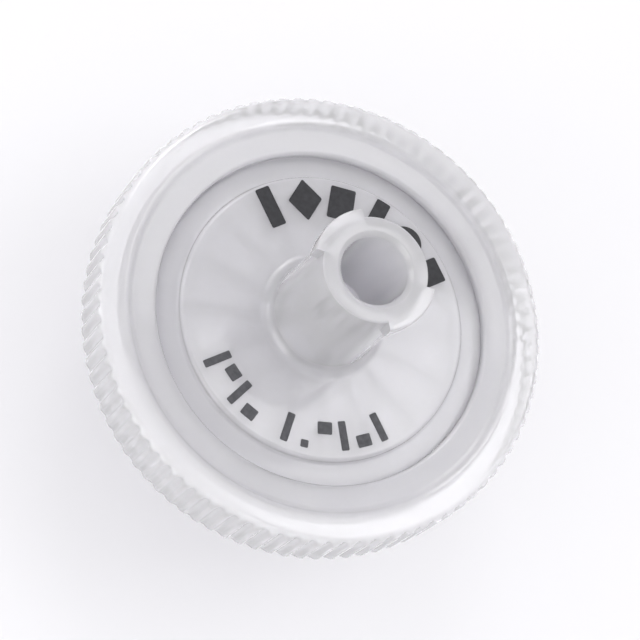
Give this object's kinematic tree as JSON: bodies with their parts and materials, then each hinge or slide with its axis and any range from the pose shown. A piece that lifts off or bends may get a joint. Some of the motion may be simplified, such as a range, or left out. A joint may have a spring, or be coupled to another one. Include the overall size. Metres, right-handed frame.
{
  "type": "syringe filter",
  "caption": "Round disposable syringe filter: female luer-lock inlet hub, stepped disc housing with a knurled sealing ring, membrane disc inside, male luer outlet tip.",
  "frame": {"origin": "centre of the outlet tip's flat end, the lowest point of the part", "axes": "+Z along the axis, from the outlet tip up to the inlet hub; +X through the middle of one locking lug"},
  "size_m": [0.0296, 0.0296, 0.0238],
  "materials": {
    "shell_plastic": "glossy translucent natural polypropylene",
    "ring_plastic": "glossy translucent natural polypropylene, moulded on",
    "membrane_sheet": "matt white porous sheet",
    "print_ink": "dark grey pad-printed ink"
  },
  "bodies": {
    "root": {"inlet_shell": "shell_plastic", "outlet_shell": "shell_plastic", "membrane": "membrane_sheet", "sealing_ring": "ring_plastic"}
  },
  "joints": []
}
